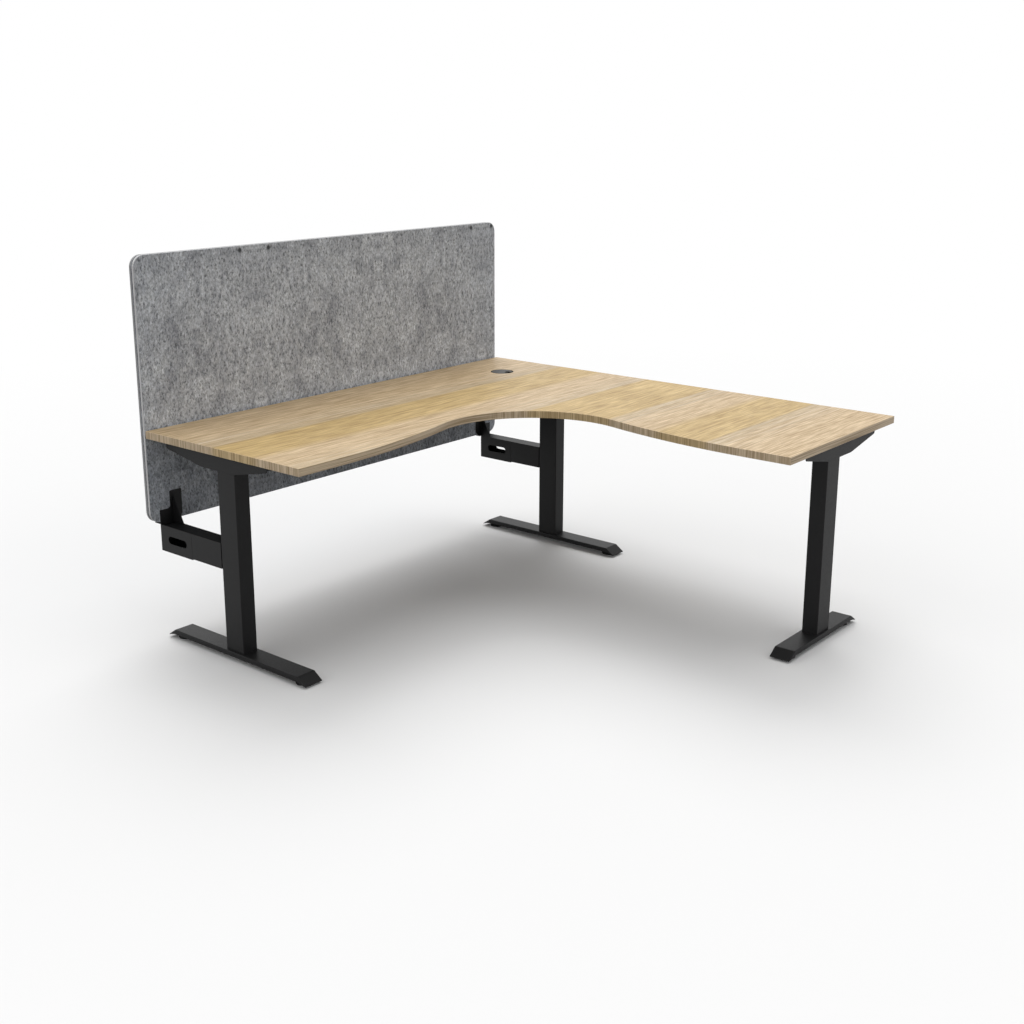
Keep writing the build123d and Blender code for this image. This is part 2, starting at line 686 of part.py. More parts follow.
for leg in arm_legs:
    plane = legs[leg]
    with BuildPart() as arm:
        with BuildSketch(face_of(plane, arm_start)):
            with Locations((0, arm_bottom + arm_height / 2)):
                Rectangle(arm_width, arm_height)
        extrude(amount=arm_end - arm_start)
        # cheeks flush with the column, where the sleeve stops, and a shadow gap round the seat on the column
        with BuildSketch(face_of(plane, arm_start)):
            with Locations((0, arm_bottom + arm_height / 2)):
                Rectangle(column_width, arm_height)
        extrude(amount=cheek_end - arm_start)
        with BuildSketch(face_of(plane, arm_start)):
            with Locations((0, arm_bottom + arm_height / 2)):
                Rectangle(column_width, arm_height)
                Rectangle(arm_width - 2 * arm_seat_inset, arm_height - 2 * arm_seat_inset, mode=Mode.SUBTRACT)
        extrude(amount=arm_seat_gap, mode=Mode.SUBTRACT)
        with BuildSketch(face_of(plane, arm_start + arm_end_plate)):
            with Locations((0, arm_bottom + (arm_height - arm_sheet) / 2)):
                Rectangle(arm_width - 2 * arm_sheet, arm_height - arm_sheet)
        extrude(amount=arm_end - arm_start - arm_end_plate, mode=Mode.SUBTRACT)
        with BuildSketch(plane.offset(arm_bottom)):
            with Locations((lock_middle, 0)):
                Rectangle(lock_bolt_spacing + 2 * lock_plate_edge, arm_width - 2 * arm_sheet)
        extrude(amount=arm_end_plate)
        with BuildSketch(plane.offset(arm_bottom)):
            with Locations((lock_first, 0), (lock_second, 0)):
                Circle(big_bolt + thread_play)
        extrude(amount=arm_end_plate, mode=Mode.SUBTRACT)
        with BuildSketch(side_of(plane)):
            with Locations(((window_start + window_end) / 2, slot_level)):
                Rectangle(window_end - window_start, slot_height + 2 * window_over)
        extrude(amount=arm_width / 2, both=True, mode=Mode.SUBTRACT)
        with BuildSketch(face_of(plane, arm_start)):
            with Locations((0, arm_top - arm_height / 2)):
                with GridLocations(arm_bolt_across, arm_bolt_up, 2, 2):
                    Circle(big_bolt + hole_play)
        extrude(amount=arm_end_plate, mode=Mode.SUBTRACT)
    arm.part.label = f"screen_arm_{leg}"
    export_step(arm.part, f"parts/screen_arm_{leg}.step")

    with BuildPart() as bracket:
        with BuildSketch(face_of(plane, plate_front)):
            with Locations((0, sleeve_bottom + sleeve_height / 2)):
                Rectangle(column_width, sleeve_height)
            with Locations((0, sleeve_bottom + (sleeve_height + sleeve_sheet) / 2)):
                Rectangle(column_width - 2 * sleeve_sheet, sleeve_height - sleeve_sheet, mode=Mode.SUBTRACT)
        extrude(amount=-sleeve_length)
        extrude(seat_plate(leg, plate_front, sleeve_bottom), amount=plate_sheet, dir=(0, 1, 0))
        # ledge under the screen
        with BuildSketch(face_of(plane, plate_front + plate_sheet)):
            with Locations((inward[leg] * (ledge_far - wide_side) / 2, arm_top + ledge_sheet / 2)):
                Rectangle(ledge_far + wide_side, ledge_sheet)
        extrude(amount=screen_thickness + plate_sheet + screen_head_height)
        # gusset between the plate and the sleeve's inner wall
        with BuildSketch(side_of(plane, inward[leg] * (wide_side - sleeve_sheet / 2))):
            with BuildLine():
                Polyline(
                    (plate_front, arm_top),
                    (plate_front, arm_top + gusset_rise),
                    (plate_front - gusset_run, arm_top),
                    close=True,
                )
            make_face()
        extrude(amount=sleeve_sheet / 2, both=True)
        # slots through both walls, and the lock bolts' slot in the floor
        with BuildSketch(side_of(plane)):
            with Locations((slot_middle, slot_level)):
                SlotOverall(slot_length, slot_height)
        extrude(amount=wide_side, both=True, mode=Mode.SUBTRACT)
        with BuildSketch(plane.offset(sleeve_bottom)):
            with Locations(((lock_slot_start + lock_slot_end) / 2, 0)):
                SlotOverall(lock_slot_end - lock_slot_start, 2 * (big_bolt + hole_play))
        extrude(amount=sleeve_sheet, mode=Mode.SUBTRACT)
        with BuildSketch(face_of(plane, plate_front)):
            with Locations(*[(inward[leg] * across, arm_top + up) for across, up in screen_bolt_spots]):
                Circle(screen_bolt + thread_play)
        extrude(amount=plate_sheet, mode=Mode.SUBTRACT)
    bracket.part.label = f"screen_bracket_{leg}"
    export_step(bracket.part, f"parts/screen_bracket_{leg}.step")

    clamp_face = plate_front + plate_sheet + screen_thickness
    with BuildPart() as clamp:
        extrude(seat_plate(leg, clamp_face, ledge_top), amount=plate_sheet, dir=(0, 1, 0))
        with BuildSketch(face_of(plane, clamp_face)):
            with Locations(*[(inward[leg] * across, arm_top + up) for across, up in screen_bolt_spots]):
                Circle(screen_bolt + hole_play)
        extrude(amount=plate_sheet, mode=Mode.SUBTRACT)
    clamp.part.label = f"screen_clamp_{leg}"
    export_step(clamp.part, f"parts/screen_clamp_{leg}.step")

with BuildPart() as arm_bolts:
    for leg in arm_legs:
        seat = face_of(legs[leg], arm_start + arm_end_plate)
        with BuildSketch(seat):
            with Locations((0, arm_top - arm_height / 2)):
                with GridLocations(arm_bolt_across, arm_bolt_up, 2, 2):
                    RegularPolygon(big_head, 6)
        extrude(amount=big_head_height)
        with BuildSketch(seat):
            with Locations((0, arm_top - arm_height / 2)):
                with GridLocations(arm_bolt_across, arm_bolt_up, 2, 2):
                    Circle(big_bolt)
        extrude(amount=-arm_end_plate - column_wall - column_plate - big_bolt_out)
arm_bolts.part.label = "arm_bolts"
export_step(arm_bolts.part, "parts/arm_bolts.step")

washer_top = sleeve_bottom - lock_gap
with BuildPart() as arm_lock_bolts:
    for leg in arm_legs:
        with BuildSketch(legs[leg].offset(washer_top - lock_washer_height)):
            with Locations((lock_first, 0), (lock_second, 0)):
                RegularPolygon(big_head, 6)
        extrude(amount=-big_head_height)
        with BuildSketch(legs[leg].offset(washer_top - lock_washer_height)):
            with Locations((lock_first, 0), (lock_second, 0)):
                Circle(big_bolt)
        extrude(amount=arm_bottom + arm_end_plate + big_bolt_out + lock_washer_height - washer_top)
arm_lock_bolts.part.label = "arm_lock_bolts"
export_step(arm_lock_bolts.part, "parts/arm_lock_bolts.step")

with BuildPart() as arm_lock_washers:
    for leg in arm_legs:
        with BuildSketch(legs[leg].offset(washer_top)):
            with Locations((lock_first, 0), (lock_second, 0)):
                Circle(lock_washer)
                Circle(big_bolt + thread_play, mode=Mode.SUBTRACT)
        extrude(amount=-lock_washer_height)
arm_lock_washers.part.label = "arm_lock_washers"
export_step(arm_lock_washers.part, "parts/arm_lock_washers.step")


# screen

screen_front = corner_y + screen_gap
screen_layers = {
    "screen_front_panel": (screen_front, felt_thickness, 0),
    "screen_core": (screen_front + felt_thickness, core_thickness, core_inset),
    "screen_back_panel": (screen_front + felt_thickness + core_thickness, felt_thickness, 0),
}
screen_middle = screen_bottom + screen_height / 2
for name, (front, thickness, inset) in screen_layers.items():
    layer_plane = Plane((0, front, screen_middle), x_dir=(-1, 0, 0), z_dir=(0, 1, 0))
    with BuildPart() as layer:
        with BuildSketch(layer_plane):
            RectangleRounded(screen_length - 2 * inset, screen_height - 2 * inset, screen_corner - inset)
        extrude(amount=thickness)
        for leg in arm_legs:
            with BuildSketch(face_of(legs[leg], front - legs[leg].origin.Y)):
                with Locations(*[(inward[leg] * across, arm_top + up) for across, up in screen_bolt_spots]):
                    Circle(screen_bolt + hole_play)
            extrude(amount=thickness, mode=Mode.SUBTRACT)
    layer.part.label = name
    export_step(layer.part, f"parts/{name}.step")

with BuildPart() as screen_pads:
    for leg in arm_legs:
        with BuildSketch(face_of(legs[leg], plate_front + plate_sheet)):
            with Locations((inward[leg] * (ledge_far - wide_side) / 2, ledge_top + pad_thickness / 2)):
                Rectangle(ledge_far + wide_side, pad_thickness)
        extrude(amount=screen_thickness)
screen_pads.part.label = "screen_pads"
export_step(screen_pads.part, "parts/screen_pads.step")

with BuildPart() as screen_bolts:
    for leg in arm_legs:
        spots = [(inward[leg] * across, arm_top + up) for across, up in screen_bolt_spots]
        seat = face_of(legs[leg], plate_front + 2 * plate_sheet + screen_thickness)
        with BuildSketch(seat):
            with Locations(*spots):
                Circle(screen_head)
        extrude(amount=screen_head_height)
        with BuildSketch(seat):
            with Locations(*spots):
                Circle(screen_bolt)
        extrude(amount=-2 * plate_sheet - screen_thickness)
screen_bolts.part.label = "screen_bolts"
export_step(screen_bolts.part, "parts/screen_bolts.step")


# levelling glides and the nuts they turn in

collar_top = pad_height + collar_height
nut_bottom = collar_top + collar_gap
nut_top = foot_top - foot_sheet
with BuildPart() as glide_nuts:
    for leg, ends in foot_ends.items():
        for reach, inset in ends.values():
            with BuildSketch(legs[leg].offset(nut_bottom)):
                with Locations((reach + inset, 0)):
                    Circle(nut_radius)
                    Circle(stem_radius + stem_play, mode=Mode.SUBTRACT)
            extrude(amount=nut_top - nut_bottom)
glide_nuts.part.label = "glide_nuts"
export_step(glide_nuts.part, "parts/glide_nuts.step")

for leg, ends in foot_ends.items():
    for end, (reach, inset) in ends.items():
        base = Plane(legs[leg].from_local_coords((reach + inset, 0, 0)))
        with BuildPart() as glide_pad:
            with BuildSketch(base):
                Circle(pad_radius)
            extrude(amount=pad_edge)
            with BuildSketch(base.offset(pad_edge)):
                Circle(pad_radius)
            with BuildSketch(base.offset(pad_height)):
                Circle(pad_crown_radius)
            loft()
            with BuildSketch(base.offset(pad_height)):
                Circle(stem_radius + thread_play)
            extrude(amount=-pad_socket, mode=Mode.SUBTRACT)
        glide_pad.part.label = f"glide_pad_{leg}_{end}"
        export_step(glide_pad.part, f"parts/glide_pad_{leg}_{end}.step")

        with BuildPart() as glide_stem:
            with BuildSketch(base.offset(pad_height - pad_socket)):
                Circle(stem_radius)
            extrude(amount=nut_top - stem_end_gap - pad_height + pad_socket)
            with BuildSketch(base.offset(pad_height)):
                RegularPolygon(collar_radius, 6)
            extrude(amount=collar_height)
        glide_stem.part.label = f"glide_stem_{leg}_{end}"
        export_step(glide_stem.part, f"parts/glide_stem_{leg}_{end}.step")
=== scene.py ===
from math import cos, degrees, radians

import bmesh
import bpy
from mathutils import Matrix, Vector


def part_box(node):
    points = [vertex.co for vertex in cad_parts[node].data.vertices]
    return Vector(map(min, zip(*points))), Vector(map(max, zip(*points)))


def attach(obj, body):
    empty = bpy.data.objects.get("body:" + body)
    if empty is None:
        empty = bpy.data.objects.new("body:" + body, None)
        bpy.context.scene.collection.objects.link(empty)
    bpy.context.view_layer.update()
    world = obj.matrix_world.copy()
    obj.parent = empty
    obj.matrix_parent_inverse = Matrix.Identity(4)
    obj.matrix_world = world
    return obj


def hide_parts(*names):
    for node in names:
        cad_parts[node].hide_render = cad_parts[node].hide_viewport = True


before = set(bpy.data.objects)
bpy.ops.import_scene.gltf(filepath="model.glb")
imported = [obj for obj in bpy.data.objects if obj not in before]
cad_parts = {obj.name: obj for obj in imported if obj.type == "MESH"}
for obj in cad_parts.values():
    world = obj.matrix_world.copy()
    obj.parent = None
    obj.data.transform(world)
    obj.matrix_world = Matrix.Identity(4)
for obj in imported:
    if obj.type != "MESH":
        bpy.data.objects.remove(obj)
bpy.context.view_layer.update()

# The looks of a corner workstation: oak-faced worktop, black steel legs and screen arms, grey felt screen.
# Metres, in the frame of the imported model: +Z up, the screen towards +Y, the return along -Y.

MM = 0.001
# points closer together than this are one point
TINY = 0.01 * MM
worktop_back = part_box("edge_band")[1].y

LEGS = ("left", "corner", "return")
ARM_LEGS = ("left", "corner")
# the axis that each leg's foot runs along: 0 is X, 1 is Y
FOOT_AXIS = {"left": 1, "corner": 1, "return": 0}

FOOT_SIDE = 17 * MM
FOOT_SHEET = 3 * MM
FLAP_RUN = 36.5 * MM
# a foot's folds: their radius, and how far under its top the middle of one down a flap may lie
FOLD_ROUND = 2.5 * MM
FOLD_REACH = 15 * MM
COLUMN_CORNER = 3 * MM
SCREEN_CORNER = 40 * MM
CORE_CORNER = 32 * MM
FELT_RIM = 0.9 * MM


# selecting and editing, as by hand


def clear():
    """Leaves edit mode with nothing selected."""
    if bpy.context.object and bpy.context.object.mode != "OBJECT":
        bpy.ops.object.mode_set(mode="OBJECT")
    bpy.ops.object.select_all(action="DESELECT")


def take(piece):
    """Makes a piece the only one selected, and the active one."""
    clear()
    piece.select_set(True)
    bpy.context.view_layer.objects.active = piece
    return piece


def edit(piece, kind):
    """Goes on editing a piece with nothing selected: its VERT, EDGE or FACE parts are picked next."""
    if piece.mode != "EDIT":
        take(piece)
        bpy.ops.object.mode_set(mode="EDIT")
    bpy.ops.mesh.select_mode(type=kind)
    bpy.ops.mesh.select_all(action="DESELECT")
    return bmesh.from_edit_mesh(piece.data)


def pick_faces(piece, test):
    """Selects the faces whose middle and normal pass a test."""
    shape = edit(piece, "FACE")
    shape.normal_update()
    for face in shape.faces:
        face.select_set(bool(test(face.calc_center_median(), face.normal)))
    shape.select_flush_mode()
    bmesh.update_edit_mesh(piece.data)


def pick_edges(piece, test):
    """Selects the edges whose middle and direction pass a test."""
    shape = edit(piece, "EDGE")
    for edge in shape.edges:
        start, end = (corner.co for corner in edge.verts)
        edge.select_set(bool(test((start + end) / 2, (end - start).normalized())))
    shape.select_flush_mode()
    bmesh.update_edit_mesh(piece.data)


def pick_corners(piece, test):
    """Selects the vertices whose place passes a test."""
    shape = edit(piece, "VERT")
    for corner in shape.verts:
        corner.select_set(bool(test(corner.co)))
    shape.select_flush_mode()
    bmesh.update_edit_mesh(piece.data)


def finish_mesh(piece):
    """Ends editing, merges doubles and points every face outwards."""
    edit(piece, "VERT")
    bpy.ops.mesh.select_all(action="SELECT")
    bpy.ops.mesh.remove_doubles(threshold=TINY)
    bpy.ops.mesh.normals_make_consistent(inside=False)
    bpy.ops.object.mode_set(mode="OBJECT")
    return piece


def block(name, low, high):
    """A box between two corners, with its place in its mesh."""
    clear()
    low, high = Vector(low), Vector(high)
    bpy.ops.mesh.primitive_cube_add(size=1, location=(low + high) / 2)
    piece = bpy.context.object
    piece.name = name
    piece.scale = high - low
    bpy.ops.object.transform_apply(location=True, rotation=True, scale=True)
    return piece


def turned(name, centre, profile, axis=2, vertices=64):
    """A solid of revolution, ring by ring, from (radius, distance along the axis) in millimetres."""
    clear()
    way = Vector([float(place == axis) for place in range(3)])
    first_radius, first_height = profile[0]
    turn = (radians(-90), 0, 0) if axis == 1 else (0, 0, 0)
    bpy.ops.mesh.primitive_circle_add(vertices=vertices, radius=first_radius * MM, rotation=turn,
                                      location=Vector(centre) + way * first_height * MM, fill_type="NGON")
    piece = bpy.context.object
    piece.name = name
    bpy.ops.object.transform_apply(location=True, rotation=True, scale=True)
    edit(piece, "FACE")
    bpy.ops.mesh.select_all(action="SELECT")
    for (radius, height), (next_radius, next_height) in zip(profile, profile[1:]):
        rise = way * (next_height - height) * MM
        bpy.ops.mesh.extrude_region_move(TRANSFORM_OT_translate={"value": rise})
        share = next_radius / radius
        size = [1 if place == axis else share for place in range(3)]
        bpy.ops.transform.resize(value=size, center_override=Vector(centre) + way * next_height * MM)
    return finish_mesh(piece)


def merged_copy(name, node):
    """A copy of a CAD node's mesh with its loose triangles joined into whole faces."""
    clear()
    piece = bpy.data.objects.new(name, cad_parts[node].data.copy())
    bpy.context.scene.collection.objects.link(piece)
    take(piece)
    if piece.data.has_custom_normals:
        bpy.ops.mesh.customdata_custom_splitnormals_clear()
    edit(piece, "VERT")
    bpy.ops.mesh.select_all(action="SELECT")
    bpy.ops.mesh.remove_doubles(threshold=TINY)
    bpy.ops.mesh.dissolve_limited(angle_limit=radians(0.5))
    bpy.ops.object.mode_set(mode="OBJECT")
    return piece


def joined(name, parts):
    """Several parts joined into one piece."""
    clear()
    for part in parts:
        part.select_set(True)
    bpy.context.view_layer.objects.active = parts[0]
    bpy.ops.object.join()
    piece = bpy.context.object
    piece.name = name
    return piece


def copy_to(piece, move):
    """A copy with its own mesh, moved in its mesh."""
    copied = piece.copy()
    copied.data = piece.data.copy()
    bpy.context.scene.collection.objects.link(copied)
    take(copied)
    bpy.ops.transform.translate(value=move)
    bpy.ops.object.transform_apply(location=True, rotation=True, scale=True)
    return copied


def smooth(piece, angle=35):
    """Shades a piece smooth up to an angle, with its large faces kept flat."""
    take(piece)
    bpy.ops.object.shade_smooth_by_angle(angle=radians(angle))
    weigh = piece.modifiers.new("flat faces", "WEIGHTED_NORMAL")
    weigh.keep_sharp = True
    bpy.ops.object.modifier_apply(modifier=weigh.name)
    return piece


def round_edges(piece, width, segments=2, angle=35):
    """Rounds every edge sharper than an angle."""
    take(piece)
    bevel = piece.modifiers.new("rounding", "BEVEL")
    bevel.width = width
    bevel.segments = segments
    bevel.limit_method = "ANGLE"
    bevel.angle_limit = radians(angle)
    bevel.use_clamp_overlap = False
    bpy.ops.object.modifier_apply(modifier=bevel.name)
    return smooth(piece, angle)


def sheet_wall(piece, thickness):
    """Gives an open shell its sheet thickness, inwards."""
    take(piece)
    wall = piece.modifiers.new("sheet", "SOLIDIFY")
    wall.thickness = thickness
    wall.offset = -1
    wall.use_even_offset = True
    bpy.ops.object.modifier_apply(modifier=wall.name)
    return piece


def dress(piece, material, body, slot, *nodes):
    """Gives a finished piece and the nodes that it stands for its material, puts the piece in its body and
    hides those nodes; the slot is not used.
    """
    for thing in (piece, *(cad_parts[node] for node in nodes)):
        thing.data.materials.clear()
        thing.data.materials.append(material)
    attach(piece, body)
    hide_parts(*nodes)
    return piece


# materials


class Nodes:
    """A node tree being wired: each call adds a node and returns the output that is used."""

    def __init__(self, tree):
        self.tree = tree

    def connect(self, node, values):
        """Links or sets a node's inputs."""
        for name, value in values.items():
            socket = node.inputs[name]
            if isinstance(value, bpy.types.NodeSocket):
                self.tree.links.new(value, socket)
            else:
                socket.default_value = value

    def add(self, kind, inputs=None, output=0, **settings):
        node = self.tree.nodes.new(kind)
        for name, value in settings.items():
            setattr(node, name, value)
        self.connect(node, inputs or {})
        return node.outputs[output]

    def math(self, operation, first, second=0.0, third=0.0):
        return self.add("ShaderNodeMath", {0: first, 1: second, 2: third}, operation=operation)

    def mix(self, share, first, second, blend="MIX"):
        """Mixes two colours."""
        inputs = {0: share, 6: first, 7: second}
        return self.add("ShaderNodeMix", inputs, 2, data_type="RGBA", blend_type=blend)

    def blend(self, share, first, second):
        """Mixes two values."""
        return self.add("ShaderNodeMix", {0: share, 2: first, 3: second}, 0, data_type="FLOAT")

    def spread(self, value, low, high, new_low=0.0, new_high=1.0):
        """A value that runs from low to high, spread over a new range and kept inside it."""
        inputs = {"Value": value, "From Min": low, "From Max": high, "To Min": new_low, "To Max": new_high}
        return self.add("ShaderNodeMapRange", inputs)

    def placed(self, vector, scale, move=(0, 0, 0), turn=(0, 0, 0)):
        inputs = {"Vector": vector, "Scale": scale, "Location": move, "Rotation": turn}
        return self.add("ShaderNodeMapping", inputs)

    def noise(self, vector, scale, detail=2.0, roughness=0.5, distortion=0.0):
        inputs = {"Vector": vector, "Scale": scale, "Detail": detail, "Roughness": roughness,
                  "Distortion": distortion}
        return self.add("ShaderNodeTexNoise", inputs)

    def ramp(self, value, stops):
        """A colour ramp from (place, colour) stops."""
        output = self.add("ShaderNodeValToRGB", {"Fac": value})
        colours = output.node.color_ramp
        while len(colours.elements) < len(stops):
            colours.elements.new(0.5)
        for element, (place, colour) in zip(colours.elements, stops):
            element.position = place
            element.color = colour
        return output

    def place(self):
        return self.add("ShaderNodeTexCoord", output="Object")

    def use(self, group, output, **values):
        """Places a shared effect and returns one of its outputs."""
        return self.add("ShaderNodeGroup", values, output, node_tree=group)


def rgb(red, green, blue):
    """A colour as it is seen, from 0 to 255, made linear."""
    linear = []
    for part in (red, green, blue):
        part = part / 255
        linear.append(part / 12.92 if part <= 0.04045 else ((part + 0.055) / 1.055) ** 2.4)
    return (*linear, 1.0)


BLACK = rgb(0, 0, 0)
WHITE = rgb(255, 255, 255)


def effect(name, inputs, outputs):
    """A new node group: its wiring, its input sockets by name, and a call that sends a value to an output."""
    tree = bpy.data.node_groups.new(name, "ShaderNodeTree")
    for socket, (kind, value) in inputs.items():
        made = tree.interface.new_socket(socket, in_out="INPUT", socket_type=kind)
        if value is not None:
            made.default_value = value
    for socket in outputs:
        tree.interface.new_socket(socket, in_out="OUTPUT", socket_type="NodeSocketFloat")
    wires = Nodes(tree)
    entry = tree.nodes.new("NodeGroupInput")
    leave = tree.nodes.new("NodeGroupOutput")

    def send(output, value):
        tree.links.new(value, leave.inputs[output])

    return wires, entry.outputs, send


def make_wood_grain():
    """Oak grain along X: fine streaks, growth lines in arcs, short pores."""
    inputs = {"Vector": ("NodeSocketVector", None), "Across": ("NodeSocketFloat", 0.0)}
    wires, given, send = effect("wood grain", inputs, ("Streaks", "Lines", "Pores"))
    parts = wires.add("ShaderNodeSeparateXYZ", {"Vector": given["Vector"]}).node.outputs
    sway_place = wires.placed(given["Vector"], (1.3, 5.0, 1.0))
    sway = wires.math("SUBTRACT", wires.noise(sway_place, 1.0, 2.0), 0.5)
    across = wires.math("MULTIPLY_ADD", sway, 0.030, given["Across"])
    along = wires.add("ShaderNodeCombineXYZ", {"X": parts["X"], "Y": across, "Z": parts["Z"]})
    fine = wires.noise(wires.placed(along, (14.0, 250.0, 12.0)), 1.0, 2.0, 0.6)
    middle = wires.noise(wires.placed(along, (9.0, 135.0, 8.0)), 1.0, 2.0, 0.55, 0.3)
    wide = wires.noise(wires.placed(along, (4.5, 80.0, 4.0)), 1.0, 2.0, 0.55)
    streaks = wires.math("MULTIPLY_ADD", wide, 0.36, wires.math("MULTIPLY", fine, 0.30))
    streaks = wires.math("MULTIPLY_ADD", middle, 0.34, streaks)
    send("Streaks", wires.spread(streaks, 0.39, 0.61))
    depth = wires.math("MULTIPLY_ADD", parts["X"], 0.075, 0.07)
    reach = wires.math("SQRT", wires.math("ADD", wires.math("MULTIPLY", depth, depth),
                                          wires.math("MULTIPLY", across, across)))
    rings = wires.math("SINE", wires.math("MULTIPLY_ADD", sway, 3.0, wires.math("MULTIPLY", reach, 520.0)))
    send("Lines", wires.spread(rings, 0.1, 1.0))
    pore = wires.noise(wires.placed(along, (16.0, 430.0, 60.0)), 1.0, 2.0, 0.6)
    send("Pores", wires.spread(pore, 0.57, 0.68))
    return wires.tree


def make_mottling():
    """Uneven tone: broad patches with finer ones on them, from 0 to 1."""
    inputs = {"Vector": ("NodeSocketVector", None), "Broad": ("NodeSocketFloat", 20.0),
              "Fine": ("NodeSocketFloat", 120.0)}
    wires, given, send = effect("mottling", inputs, ("Broad", "Fine"))
    send("Broad", wires.noise(given["Vector"], given["Broad"], 3.0, 0.55, 0.4))
    send("Fine", wires.noise(given["Vector"], given["Fine"], 4.0, 0.65, 0.8))
    return wires.tree


def make_fibres():
    """Pressed felt: tufts of fibres that lean both ways from upright, light and dark, from 0 to 1."""
    inputs = {"Vector": ("NodeSocketVector", None), "Size": ("NodeSocketFloat", 1.0)}
    wires, given, send = effect("felt fibres", inputs, ("Tone", "Height", "Hairs"))
    sized = wires.add("ShaderNodeVectorMath", {0: given["Vector"], "Scale": given["Size"]}, operation="SCALE")
    layers = []
    for lean, scale in ((0.22, (150, 1, 74)), (-0.34, (128, 1, 72)), (0.06, (74, 1, 38))):
        leaning = wires.placed(sized, (1.0, 1.0, 1.0), turn=(0, lean, 0))
        layers.append(wires.noise(wires.placed(leaning, scale), 1.0, 2.0, 0.6, 0.8))
    fine = wires.noise(sized, 260.0, 3.0, 0.6)
    tufts = wires.math("MULTIPLY_ADD", layers[0], 0.38, wires.math("MULTIPLY", layers[1], 0.30))
    tufts = wires.math("MULTIPLY_ADD", layers[2], 0.22, tufts)
    tone = wires.math("MULTIPLY_ADD", fine, 0.10, tufts)
    send("Tone", wires.spread(tone, 0.39, 0.61))
    send("Height", wires.math("ADD", layers[0], layers[1]))
    # dark hair lines that wander through the felt
    wander = wires.noise(sized, 17.0, 3.0, 0.6, 1.6)
    ridge = wires.math("ABSOLUTE", wires.math("SUBTRACT", wander, 0.5))
    patchy = wires.spread(wires.noise(sized, 31.0, 2.0), 0.50, 0.66)
    send("Hairs", wires.math("MULTIPLY", wires.spread(ridge, 0.0, 0.022, 1.0, 0.0), patchy))
    return wires.tree


def make_grit():
    """The fine orange peel of powder coat and moulded plastic, as a height."""
    inputs = {"Vector": ("NodeSocketVector", None), "Size": ("NodeSocketFloat", 700.0)}
    wires, given, send = effect("surface grit", inputs, ("Height",))
    peel = wires.noise(given["Vector"], given["Size"], 2.0, 0.5)
    speck_scale = wires.math("MULTIPLY", given["Size"], 2.7)
    specks = wires.noise(given["Vector"], speck_scale, 1.0, 0.5)
    send("Height", wires.math("MULTIPLY_ADD", specks, 0.35, peel))
    return wires.tree


wood_grain = make_wood_grain()
mottling = make_mottling()
felt_fibres = make_fibres()
surface_grit = make_grit()


def new_material(name):
    """A material with its wiring and its shader."""
    material = bpy.data.materials.new(name)
    material.use_nodes = True
    shader = material.node_tree.nodes["Principled BSDF"]
    return material, Nodes(material.node_tree), shader


def feed(wires, shader, **values):
    """Links or sets the shader's sockets: underscores in a name are spaces."""
    wires.connect(shader, {name.replace("_", " "): value for name, value in values.items()})


def seen_rays(wires):
    """1 for what is seen, also in metal or through glass, and 0 for what lights the desk."""
    ray = wires.add("ShaderNodeLightPath").node.outputs
    seen = wires.math("MAXIMUM", ray["Is Camera Ray"], ray["Is Glossy Ray"])
    return wires.math("MAXIMUM", seen, ray["Is Transmission Ray"])


def bump(wires, height, strength, distance):
    return wires.add("ShaderNodeBump", {"Height": height, "Strength": strength, "Distance": distance})


# the printed planks across the worktop, mirrored about a line this far in front of its back edge
PLANK_MIRROR = 922.5 * MM
PLANK_REACH = 922.5 * MM


def plank_distance(wires, parts):
    """How far a point lies from the line that the printed planks are mirrored about."""
    front = wires.math("SUBTRACT", worktop_back - PLANK_MIRROR, parts["Y"])
    return wires.math("ABSOLUTE", front)


